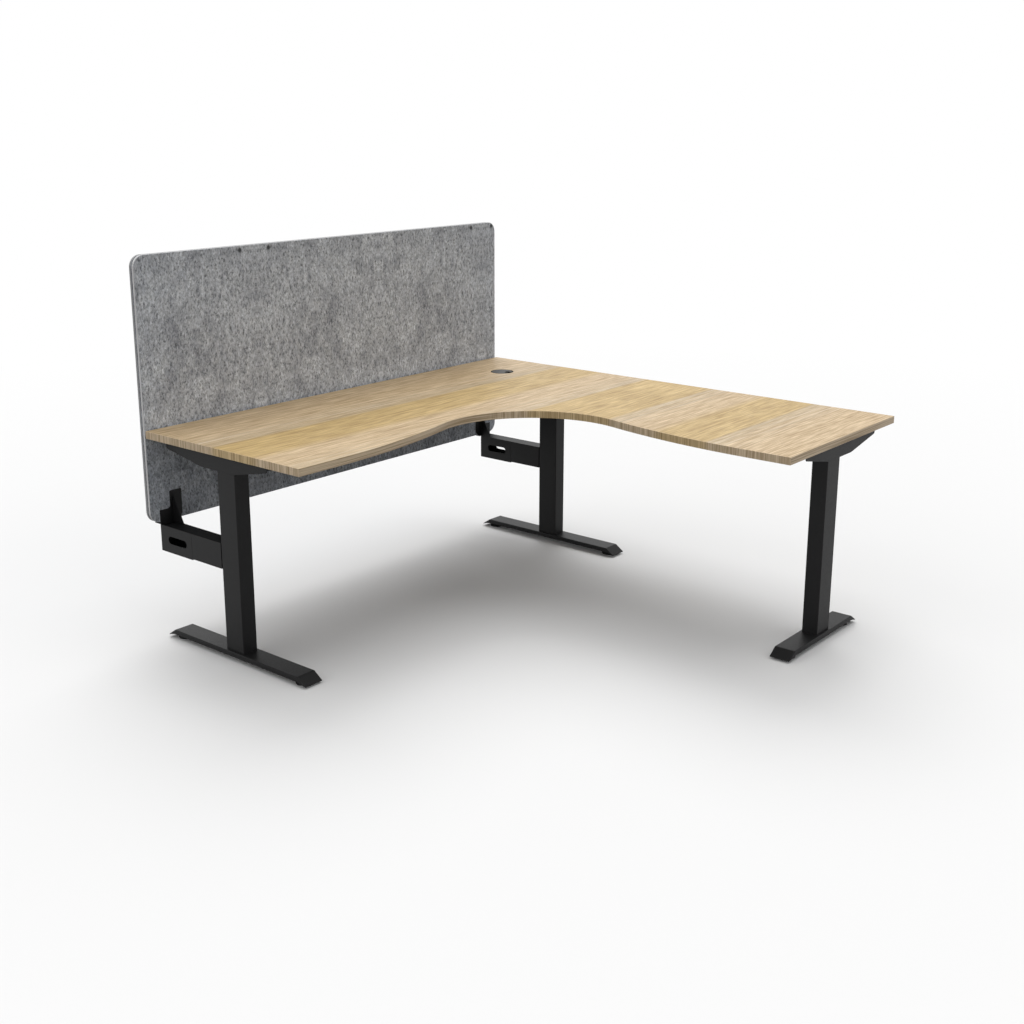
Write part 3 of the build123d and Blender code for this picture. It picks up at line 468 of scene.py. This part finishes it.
def oak_laminate():
    """The worktop's print: planks in three tones, streaked along X, with growth lines and pores."""
    material, wires, shader = new_material("oak laminate")
    place = wires.place()
    parts = wires.add("ShaderNodeSeparateXYZ", {"Vector": place}).node.outputs
    away = plank_distance(wires, parts)
    yellow, pink, grey = rgb(208, 180, 123), rgb(218, 194, 158), rgb(203, 182, 148)
    drift = wires.math("SUBTRACT", wires.noise(wires.placed(place, (0.7, 9.0, 1.0)), 1.0, 2.0), 0.5)
    plank_place = wires.math("MULTIPLY_ADD", drift, 0.012, wires.math("DIVIDE", away, PLANK_REACH))
    planks = wires.ramp(plank_place, (
        (0.0, yellow), (0.152, yellow), (0.166, grey), (0.235, pink), (0.375, pink), (0.425, yellow),
        (0.612, yellow), (0.632, grey), (0.715, pink), (1.0, pink)))
    streaks = wires.use(wood_grain, "Streaks", Vector=place, Across=away)
    lines = wires.use(wood_grain, "Lines", Vector=place, Across=away)
    pores = wires.use(wood_grain, "Pores", Vector=place, Across=away)
    dark_streak = wires.mix(1.0, planks, rgb(190, 181, 166), "MULTIPLY")
    toned = wires.mix(streaks, dark_streak, planks)
    patchy = wires.spread(wires.noise(wires.placed(place, (1.6, 7.0, 1.0)), 1.0, 2.0), 0.38, 0.62, 0.05, 0.50)
    lined = wires.mix(wires.math("MULTIPLY", lines, patchy), toned, rgb(166, 139, 92))
    dashed = wires.mix(wires.math("MULTIPLY", pores, 0.50), lined, rgb(142, 118, 88))
    # pale and dark threads in the grey stretch just inside each change of plank
    threads = wires.noise(wires.placed(place, (1.4, 150.0, 6.0)), 1.0, 3.0, 0.6, 0.2)
    zone = wires.ramp(plank_place, (
        (0.0, BLACK), (0.160, BLACK), (0.172, WHITE), (0.235, WHITE), (0.30, BLACK),
        (0.61, BLACK), (0.635, WHITE), (0.70, WHITE), (0.80, BLACK), (1.0, BLACK)))
    pale = wires.math("MULTIPLY", wires.spread(threads, 0.55, 0.68, 0.0, 0.50), zone)
    dark = wires.math("MULTIPLY", wires.spread(threads, 0.47, 0.34, 0.0, 0.60), zone)
    dashed = wires.mix(pale, dashed, rgb(214, 204, 186))
    dashed = wires.mix(dark, dashed, rgb(160, 148, 128))
    rough = wires.spread(streaks, 0.0, 1.0, 0.56, 0.46)
    depth = wires.math("MULTIPLY_ADD", pores, -0.8, streaks)
    feed(wires, shader, Base_Color=dashed, Roughness=rough, Normal=bump(wires, depth, 0.12, 0.0002),
         Specular_IOR_Level=0.30)
    return material


def oak_edging():
    """The same print on the edges: long grain on the edges along X, upright stripes on the others."""
    material, wires, shader = new_material("oak edging")
    place = wires.place()
    parts = wires.add("ShaderNodeSeparateXYZ", {"Vector": place}).node.outputs
    normal = wires.add("ShaderNodeNewGeometry", output="Normal")
    faces = wires.add("ShaderNodeSeparateXYZ", {"Vector": normal}).node.outputs
    across = wires.spread(wires.math("ABSOLUTE", faces["X"]), 0.35, 0.65)
    upright = wires.noise(wires.placed(place, (3.0, 310.0, 5.0)), 1.0, 3.0, 0.65)
    long_grain = wires.noise(wires.placed(place, (3.0, 3.0, 240.0)), 1.0, 3.0, 0.6, 0.3)
    away = wires.math("DIVIDE", plank_distance(wires, parts), PLANK_REACH)
    # white where the plank above is yellow
    bands = wires.ramp(away, ((0.15, WHITE), (0.17, BLACK), (0.375, BLACK), (0.425, WHITE),
                              (0.61, WHITE), (0.64, BLACK)))
    grain = wires.blend(across, long_grain, upright)
    tone = wires.spread(grain, 0.38, 0.62)
    yellow, pink = rgb(210, 186, 143), rgb(215, 195, 166)
    ground = wires.mix(bands, pink, yellow)
    striped = wires.mix(tone, wires.mix(1.0, ground, rgb(188, 179, 165), "MULTIPLY"), ground)
    # painted highlight: faces turned upwards, the top of the edging and its rounded upper edge, are painted
    # paler
    rim = wires.mix(wires.spread(faces["Z"], 0.5, 1.0, 0.0, 0.5), striped, rgb(208, 186, 148))
    feed(wires, shader, Base_Color=rim, Roughness=wires.spread(grain, 0.3, 0.7, 0.54, 0.44),
         Normal=bump(wires, grain, 0.15, 0.0002), Specular_IOR_Level=0.30)
    return material


# the felt's broad tones are mirrored about upright lines this far apart, one of them here
FELT_TILE = 605 * MM
FELT_LINE = 399 * MM
# where the small dark mark lies in each tile
FELT_MARK = (64 * MM, 0.0, 1289 * MM)


def grey_felt(name, edge_light_tone):
    """Pressed felt, with its cut edge painted in a tone given for how brightly that edge is lit."""
    material, wires, shader = new_material(name)
    place = wires.place()
    parts = wires.add("ShaderNodeSeparateXYZ", {"Vector": place}).node.outputs
    folded = wires.math("PINGPONG", wires.math("ADD", parts["X"], FELT_LINE), FELT_TILE)
    tile = wires.add("ShaderNodeCombineXYZ", {"X": folded, "Y": parts["Y"], "Z": parts["Z"]})
    upright = wires.placed(tile, (1.15, 1.0, 0.70))
    broad = wires.use(mottling, "Broad", Vector=upright, Broad=24.0, Fine=60.0)
    hue = wires.use(mottling, "Fine", Vector=upright, Broad=24.0, Fine=60.0)
    tone = wires.use(felt_fibres, "Tone", Vector=tile)
    height = wires.use(felt_fibres, "Height", Vector=tile)
    fibres = wires.ramp(tone, (
        (0.0, rgb(126, 130, 134)), (0.22, rgb(171, 176, 181)), (0.5, rgb(203, 208, 213)),
        (0.75, rgb(223, 228, 233)), (1.0, rgb(243, 248, 253))))
    tinted = wires.mix(1.0, fibres, wires.ramp(hue, ((0.35, rgb(251, 252, 255)), (0.65, rgb(255, 254, 254)))),
                       "MULTIPLY")
    patches = wires.ramp(broad, ((0.34, rgb(222, 222, 225)), (0.66, rgb(255, 255, 255))))
    wide = wires.noise(wires.placed(tile, (7.5, 1.0, 4.5)), 1.0, 2.0)
    shades = wires.ramp(wide, ((0.34, rgb(226, 226, 227)), (0.66, rgb(255, 255, 255))))
    cloth = wires.mix(1.0, wires.mix(1.0, tinted, patches, "MULTIPLY"), shades, "MULTIPLY")
    hairs = wires.use(felt_fibres, "Hairs", Vector=tile)
    lined = wires.mix(wires.math("MULTIPLY", hairs, 0.60), cloth, rgb(96, 99, 104))
    specks = wires.noise(wires.placed(tile, (1.0, 1.0, 0.8)), 125.0, 1.0)
    speckled = wires.mix(wires.spread(specks, 0.62, 0.72, 0.0, 0.60), lined, rgb(92, 94, 98))
    # one small dark mark in each tile, near the top edge
    nearby = wires.add("ShaderNodeCombineXYZ", {"X": folded, "Z": parts["Z"]})
    marked = wires.add("ShaderNodeVectorMath", {0: nearby, 1: FELT_MARK}, "Value", operation="DISTANCE")
    speckled = wires.mix(wires.spread(marked, 0.005, 0.012, 0.95, 0.0), speckled, rgb(62, 64, 66))
    normal = wires.add("ShaderNodeNewGeometry", output="Normal")
    facing = wires.add("ShaderNodeSeparateXYZ", {"Vector": normal}).node.outputs["Y"]
    edge = wires.spread(wires.math("ABSOLUTE", facing), 0.55, 0.85, 1.0, 0.0)
    # painted light on the cut edge: its tone is paler on the front panel and darker on the back, for how each
    # is lit
    edge_tone = wires.mix(wires.spread(tone, 0.2, 0.8), edge_light_tone, rgb(240, 240, 240), "MULTIPLY")
    finished = wires.mix(edge, speckled, edge_tone)
    feed(wires, shader, Base_Color=finished, Roughness=wires.spread(tone, 0.0, 1.0, 0.98, 0.90),
         Normal=bump(wires, height, 0.35, 0.0012), Specular_IOR_Level=0.15, Sheen_Weight=0.12,
         Sheen_Roughness=0.6)
    return material


def powder_coat():
    """Black powder coat on steel: close tones in clouds over a fine orange peel."""
    material, wires, shader = new_material("black powder coat")
    place = wires.place()
    grit = wires.use(surface_grit, "Height", Vector=place, Size=650.0)
    cloud = wires.use(mottling, "Broad", Vector=place, Broad=7.0, Fine=90.0)
    fine = wires.use(mottling, "Fine", Vector=place, Broad=7.0, Fine=160.0)
    coat = wires.ramp(cloud, ((0.3, rgb(17, 17, 18)), (0.7, rgb(22, 22, 23))))
    shaded = wires.mix(wires.spread(fine, 0.3, 0.7, 0.0, 0.30), coat, rgb(30, 30, 30))
    rough = wires.spread(fine, 0.3, 0.7, 0.42, 0.52)
    feed(wires, shader, Base_Color=shaded, Roughness=rough, Normal=bump(wires, grit, 0.22, 0.0004),
         Specular_IOR_Level=0.19)
    return material


def plain_finish(name, dark, light, rough, grit_size=500.0, grit_strength=0.15, metallic=0.0, specular=0.5,
                 painted_shade_below=None):
    """A moulded, rubber, board or plated finish: two close tones in patches over a fine grit.

    Below the given height it is painted near black without shine: painted shade, as little light reaches into
    a recess.
    """
    material, wires, shader = new_material(name)
    place = wires.place()
    grit = wires.use(surface_grit, "Height", Vector=place, Size=grit_size)
    cloud = wires.use(mottling, "Broad", Vector=place, Broad=30.0, Fine=240.0)
    fine = wires.use(mottling, "Fine", Vector=place, Broad=30.0, Fine=240.0)
    tone = wires.mix(wires.spread(wires.math("ADD", cloud, fine), 0.7, 1.3), dark, light)
    if painted_shade_below:
        # painted shade: near black and without shine below the given height
        height = wires.add("ShaderNodeSeparateXYZ", {"Vector": place}).node.outputs["Z"]
        shade_share = wires.spread(height, painted_shade_below - 3 * MM, painted_shade_below, 1.0, 0.0)
        tone = wires.mix(shade_share, tone, rgb(8, 8, 8))
        specular = wires.blend(shade_share, specular, 0.0)
    low, high = rough
    feed(wires, shader, Base_Color=tone, Roughness=wires.spread(fine, 0.3, 0.7, low, high),
         Normal=bump(wires, grit, grit_strength, 0.0003), Metallic=metallic, Specular_IOR_Level=specular)
    return material


oak = oak_laminate()
edging = oak_edging()
# one felt in a lit and a shaded copy: the front panel's cut edge painted paler, the back's darker
felt_front = grey_felt("grey felt front", rgb(214, 214, 214))
felt_back = grey_felt("grey felt back", rgb(160, 160, 161))
black_coat = powder_coat()
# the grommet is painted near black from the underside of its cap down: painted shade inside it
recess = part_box("grommet_cap")[1].z - 2 * MM
dark_plastic = plain_finish("dark plastic", rgb(28, 28, 26), rgb(36, 36, 33), (0.44, 0.56), specular=0.38,
                            painted_shade_below=recess)
ring_plastic = plain_finish("ring plastic", rgb(18, 18, 18), rgb(26, 26, 25), (0.60, 0.72), specular=0.03,
                            painted_shade_below=recess)
glide_plastic = plain_finish("glide plastic", rgb(15, 15, 16), rgb(22, 22, 22), (0.55, 0.68), specular=0.3)
pad_rubber = plain_finish("pad rubber", rgb(14, 14, 14), rgb(22, 22, 22), (0.75, 0.88), 900.0, 0.25,
                          specular=0.2)
zinc = plain_finish("zinc plate", rgb(158, 160, 160), rgb(188, 188, 184), (0.28, 0.42), 900.0, 0.08,
                    metallic=1.0)
core_board = plain_finish("core board", rgb(52, 51, 50), rgb(68, 66, 64), (0.85, 0.95), 800.0, 0.4)


# worktop

board = smooth(merged_copy("worktop", "worktop_board"), 30)
dress(board, oak, "frame", "oak_laminate", "worktop_board")
band = smooth(merged_copy("worktop_edging", "edge_band"), 30)
dress(band, edging, "frame", "oak_edging", "edge_band")


# legs


def make_column(leg):
    """A closed steel tube with rounded corners."""
    low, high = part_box(f"column_{leg}")
    column = block(f"leg_tube_{leg}", low, high)
    pick_edges(column, lambda middle, way: abs(way.z) > 0.9)
    bpy.ops.mesh.bevel(offset=COLUMN_CORNER, segments=5)
    finish_mesh(column)
    smooth(column)
    return dress(column, black_coat, "frame", "black_steel", f"column_{leg}")


def make_foot(leg):
    """Sheet with its sides folded down, and a flap folded down at each end."""
    low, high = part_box(f"foot_{leg}")
    axis = FOOT_AXIS[leg]
    flat_low, flat_high = low.copy(), high.copy()
    flat_low[axis] += FLAP_RUN
    flat_high[axis] -= FLAP_RUN
    flat_low.z = high.z - FOOT_SIDE
    foot = block(f"foot_sheet_{leg}", flat_low, flat_high)
    for way in (-1, 1):
        pick_faces(foot, lambda middle, normal: normal[axis] * way > 0.9)
        reach = Vector((0, 0, 0))
        reach[axis] = way * FLAP_RUN
        bpy.ops.mesh.extrude_region_move(TRANSFORM_OT_translate={"value": reach})
        bpy.ops.transform.resize(value=(1, 1, 0), center_override=(0, 0, low.z))
    finish_mesh(foot)
    pick_faces(foot, lambda middle, normal: normal.z < -0.3)
    bpy.ops.mesh.delete(type="FACE")

    def is_fold(middle, way):
        """Along the top's sides, or down a flap."""
        slopes = abs(way.z) > 0.3 and abs(way[axis]) > 0.3
        return middle.z > high.z - MM or (slopes and middle.z > high.z - FOLD_REACH)

    pick_edges(foot, is_fold)
    bpy.ops.mesh.bevel(offset=FOLD_ROUND, segments=4)
    bpy.ops.object.mode_set(mode="OBJECT")
    sheet_wall(foot, FOOT_SHEET)
    round_edges(foot, 0.5 * MM, angle=50)
    return dress(foot, black_coat, "frame", "black_steel", f"foot_{leg}")


def make_top_bracket(leg):
    """A folded saddle, shallow at its ends and open below there."""
    bracket = round_edges(merged_copy(f"saddle_{leg}", f"top_bracket_{leg}"), 0.7 * MM)
    return dress(bracket, black_coat, "frame", "black_steel", f"top_bracket_{leg}")


for leg in LEGS:
    make_column(leg)
    make_foot(leg)
    make_top_bracket(leg)


# rails and their fasteners, and the other bolts and screws

for name in ("back_rail", "front_rail", "return_rail_left", "return_rail_right"):
    rail = round_edges(merged_copy(f"{name}_tube", name), 1.0 * MM, 3)
    dress(rail, black_coat, "frame", "black_steel", name)

FRAME_FASTENERS = ("column_head_bolts", "foot_bolts", "worktop_screws", "rail_bolts", "rail_nuts",
                   "arm_bolts", "arm_lock_washers", "arm_lock_bolts", "glide_nuts")
for name in FRAME_FASTENERS:
    fastener = round_edges(merged_copy(f"{name}_plated", name), 0.35 * MM)
    dress(fastener, zinc, "frame", "zinc_steel", name)


# screen arms, the brackets that slide on them, and the plates behind the screen

for leg in ARM_LEGS:
    for part, node, body in (("arm", "screen_arm", "frame"), ("slide", "screen_bracket", "screen"),
                             ("clamp", "screen_clamp", "screen")):
        piece = round_edges(merged_copy(f"{part}_{leg}", f"{node}_{leg}"), 0.5 * MM)
        dress(piece, black_coat, body, "black_steel", f"{node}_{leg}")


# screen


def felt_board(name, node, material, slot, corner, rim):
    """An upright board with rounded corners and a slightly softened rim."""
    low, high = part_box(node)
    panel = block(name, low, high)
    pick_edges(panel, lambda middle, way: abs(way.y) > 0.9)
    bpy.ops.mesh.bevel(offset=corner, segments=16)
    if rim:
        pick_faces(panel, lambda middle, normal: abs(normal.y) > 0.9)
        bpy.ops.mesh.region_to_loop()
        bpy.ops.mesh.bevel(offset=rim, segments=3)
    finish_mesh(panel)
    smooth(panel)
    return dress(panel, material, "screen", slot, node)


felt_board("screen_felt_front", "screen_front_panel", felt_front, "grey_felt", SCREEN_CORNER, FELT_RIM)
felt_board("screen_felt_back", "screen_back_panel", felt_back, "grey_felt", SCREEN_CORNER, FELT_RIM)
felt_board("screen_core_board", "screen_core", core_board, "core_board", CORE_CORNER, 0)

pads = round_edges(merged_copy("screen_rest_pads", "screen_pads"), 0.5 * MM)
dress(pads, pad_rubber, "screen", "pad_rubber", "screen_pads")

# screen bolts: a shank, a domed head and a hexagon socket in it, towards the back
HEAD_PROFILE = ((3.0, -29.0), (3.0, 0.0), (5.1, 0.0), (5.5, 0.4), (5.5, 0.9), (5.1, 1.8), (4.2, 2.5),
                (3.0, 2.9), (2.1, 3.0))
HEAD_HEIGHT = 3.0 * MM
SOCKET_DEPTH = 1.6 * MM
# the socket's vertices lie between these distances from the bolt's axis
SOCKET_NEAR, SOCKET_FAR = 0.1 * MM, 2.2 * MM
# each arm's bolts, in millimetres: from the column's middle towards the desk's, and above the arm
BOLT_PLACES = ((-10, 28), (38.75, 28), (38.75, 88))


def make_screen_bolt(centre):
    """One screen bolt, with the middle of its seat at a centre."""
    bolt = turned("screen_bolt", centre, HEAD_PROFILE, axis=1, vertices=24)
    top = centre[1] + HEAD_HEIGHT
    pick_faces(bolt, lambda middle, normal: normal.y > 0.9 and middle.y > top - TINY)
    bpy.ops.mesh.extrude_region_move(TRANSFORM_OT_translate={"value": (0, -SOCKET_DEPTH, 0)})
    for sixth in (15, 30, 45):
        # brings the ring's other vertices in to the hexagon's flats
        share = cos(radians(30)) / cos(radians(30 - sixth))

        def on_flat(corner):
            away = Vector((corner.x - centre[0], corner.z - centre[2]))
            if away.length < SOCKET_NEAR or away.length > SOCKET_FAR or corner.y < centre[1]:
                return False
            turn = round(degrees(away.angle_signed(Vector((1, 0)), 0))) % 60
            return abs(turn - sixth) < 3

        pick_corners(bolt, on_flat)
        bpy.ops.transform.resize(value=(share, 1, share), center_override=centre)
    finish_mesh(bolt)
    return bolt


head_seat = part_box("screen_bolts")[1].y - HEAD_HEIGHT
bolt_spots = []
for leg, way in (("left", 1), ("corner", -1)):
    column_low, column_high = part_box(f"column_{leg}")
    middle = (column_low.x + column_high.x) / 2
    arm_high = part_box(f"screen_arm_{leg}")[1].z
    for across, up in BOLT_PLACES:
        bolt_spots.append(Vector((middle + way * across * MM, head_seat, arm_high + up * MM)))
first_bolt = make_screen_bolt(bolt_spots[0])
screen_bolts = [first_bolt] + [copy_to(first_bolt, spot - bolt_spots[0]) for spot in bolt_spots[1:]]
screen_bolts = smooth(joined("screen_bolts_black", screen_bolts), 40)
dress(screen_bolts, black_coat, "screen", "black_steel", "screen_bolts")


# levelling glides

PAD_PROFILE = ((24.6, 0.0), (25.6, 0.3), (26.0, 1.0), (26.0, 3.6), (25.7, 4.4), (24.8, 5.2), (21.6, 7.6),
               (20.8, 8.0), (14.0, 8.0), (13.4, 7.4), (8.0, 7.4), (7.4, 8.0), (5.3, 8.0))
first_pad = None
for leg in LEGS:
    for end in ("front", "back"):
        low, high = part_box(f"glide_pad_{leg}_{end}")
        centre = Vector(((low.x + high.x) / 2, (low.y + high.y) / 2, 0))
        if first_pad is None:
            first_pad, first_centre = turned("glide_foot", centre, PAD_PROFILE), centre
            smooth(first_pad, 40)
            pad = first_pad
        else:
            pad = copy_to(first_pad, centre - first_centre)
        pad.name = f"glide_foot_{leg}_{end}"
        dress(pad, glide_plastic, f"glide_{leg}_{end}", "glide_plastic", f"glide_pad_{leg}_{end}")
        stem = round_edges(merged_copy(f"glide_thread_{leg}_{end}", f"glide_stem_{leg}_{end}"), 0.4 * MM)
        dress(stem, black_coat, f"glide_{leg}_{end}", "black_steel", f"glide_stem_{leg}_{end}")


# cable grommet

for name, node, body, finish in (("grommet_ring", "grommet_sleeve", "frame", ring_plastic),
                                 ("grommet_lid", "grommet_cap", "grommet_cap", dark_plastic),
                                 ("grommet_turner", "grommet_shutter", "grommet_shutter", dark_plastic)):
    part = round_edges(merged_copy(name, node), 0.3 * MM)
    dress(part, finish, body, "dark_plastic", node)


# floor, light and camera

FLOOR_SIZE = 40
FLOOR_DROP = 0.5 * MM
# how far from the middle the floor begins to fade to white, and where it is all white
FADE_NEAR, FADE_FAR = 2.2, 6.0


def make_floor():
    """A pale floor that keeps the shadow and turns into the white background far out."""
    clear()
    bpy.ops.mesh.primitive_plane_add(size=FLOOR_SIZE, location=(0, 0, -FLOOR_DROP))
    floor = bpy.context.object
    floor.name = "studio_floor"
    material = bpy.data.materials.new("studio floor")
    material.use_nodes = True
    wires = Nodes(material.node_tree)
    wires.tree.nodes.clear()
    white = wires.add("ShaderNodeEmission", {"Color": WHITE, "Strength": 1.0})
    seen = seen_rays(wires)
    # what it throws back on the desk is that of a plain grey floor
    tone = wires.mix(seen, rgb(120, 120, 120), rgb(231, 231, 231))
    paint = wires.add("ShaderNodeBsdfDiffuse", {"Color": tone})
    far = wires.add("ShaderNodeVectorMath", {0: wires.place()}, "Value", operation="LENGTH")
    share = wires.math("MULTIPLY", seen, wires.spread(far, FADE_NEAR, FADE_FAR))
    surface = wires.add("ShaderNodeMixShader", {0: share, 1: paint, 2: white})
    output = wires.tree.nodes.new("ShaderNodeOutputMaterial")
    wires.tree.links.new(surface, output.inputs["Surface"])
    floor.data.materials.append(material)


# the strength of the even light all round
AMBIENT = 0.46
# each soft lamp: its name, the way that its light travels, its strength, how wide it looks in degrees
LAMPS = (("key", (-0.435, -0.435, -0.788), 1.21, 40), ("left", (0.852, -0.397, -0.342), 0.80, 80),
         ("top", (-0.087, 0.0, -0.996), 0.92, 45), ("front", (-0.198, 0.740, -0.643), 0.35, 60))


def make_light():
    """Even light all round and soft lamps: a key behind on the right, the others weaker."""
    world = bpy.data.worlds.new("studio")
    world.use_nodes = True
    bpy.context.scene.world = world
    wires = Nodes(world.node_tree)
    wires.tree.nodes.clear()
    strength = wires.blend(seen_rays(wires), AMBIENT, 1.0)
    sky = wires.add("ShaderNodeBackground", {"Color": WHITE, "Strength": strength})
    output = wires.tree.nodes.new("ShaderNodeOutputWorld")
    wires.tree.links.new(sky, output.inputs["Surface"])
    for name, travel, energy, angle in LAMPS:
        sun = bpy.data.lights.new(name, "SUN")
        sun.energy = energy
        sun.angle = radians(angle)
        lamp = bpy.data.objects.new(name, sun)
        lamp.rotation_euler = Vector(travel).to_track_quat("-Z", "Y").to_euler()
        bpy.context.scene.collection.objects.link(lamp)


# the camera, solved from the straight edges in the photograph: its place, and degrees down and round
CAMERA_PLACE = (-3.4100, -2.7390, 1.7401)
CAMERA_DOWN, CAMERA_ROUND = 14.77, -50.19


def make_camera():
    """A camera with its frame shifted, since the photograph isn't centred on it."""
    camera = bpy.data.objects.new("camera", bpy.data.cameras.new("camera"))
    camera.location = CAMERA_PLACE
    camera.rotation_euler = (radians(90 - CAMERA_DOWN), 0, radians(CAMERA_ROUND))
    camera.data.lens = 46.53
    camera.data.sensor_width = 36
    camera.data.shift_x = 0.01018
    camera.data.shift_y = -0.04743
    bpy.context.scene.collection.objects.link(camera)
    bpy.context.scene.camera = camera


make_floor()
make_light()
make_camera()
bpy.context.scene.view_settings.view_transform = "Standard"

clear()
